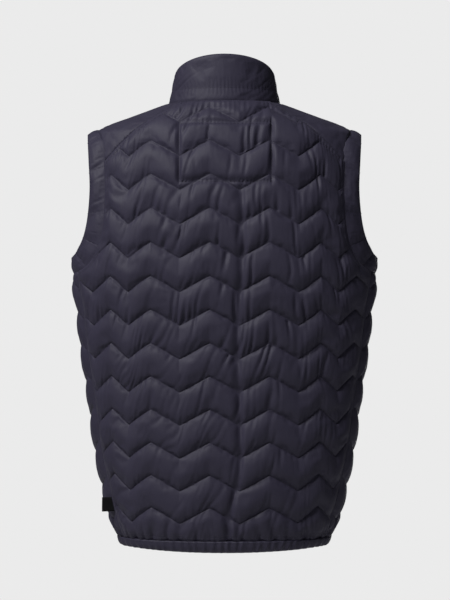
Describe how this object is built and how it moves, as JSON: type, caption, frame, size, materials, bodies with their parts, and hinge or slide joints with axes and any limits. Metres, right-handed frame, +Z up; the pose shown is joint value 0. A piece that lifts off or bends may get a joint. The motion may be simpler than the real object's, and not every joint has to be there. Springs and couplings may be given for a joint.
{
  "type": "quilted stand-collar vest",
  "caption": "Sleeveless padded vest in worn shape: chevron-quilted panels, smooth shoulder yokes, puffed armhole bands, stand collar, full-length front zip, gathered hem.",
  "frame": {"origin": "centre of the neck opening, level with the back collar seam, where the wearer's shoulders hold it up", "axes": "+Z up towards the wearer's head, +Y towards the wearer's front, +X towards the wearer's right side"},
  "size_m": [0.4776, 0.2579, 0.7607],
  "materials": {
    "shell_cloth": "matt polyester with a soft sheen",
    "zip_cloth": "woven tape",
    "zip_teeth": "moulded teeth",
    "zip_metal": "dark gunmetal plating",
    "label": "black woven label"
  },
  "bodies": {
    "vest": {"back_panel": "shell_cloth", "front_right": "shell_cloth", "front_left": "shell_cloth", "yoke_right": "shell_cloth", "yoke_left": "shell_cloth", "armhole_band_right": "shell_cloth", "armhole_band_left": "shell_cloth", "collar": "shell_cloth", "hem_binding": "shell_cloth", "side_tab": "label", "zip_tape_right": "zip_cloth", "zip_tape_left": "zip_cloth", "zip_chain": "zip_teeth", "zip_box": "zip_metal", "zip_slider": "zip_metal"},
    "pull": {"zip_pull": "zip_metal"}
  },
  "joints": [
    {"name": "pull_hinge", "type": "hinge", "parent": "vest", "child": "pull", "pos_m": [0, 0.08008, -0.00868], "axis": [1, 0, 0], "range_deg": [0, 150]}
  ]
}
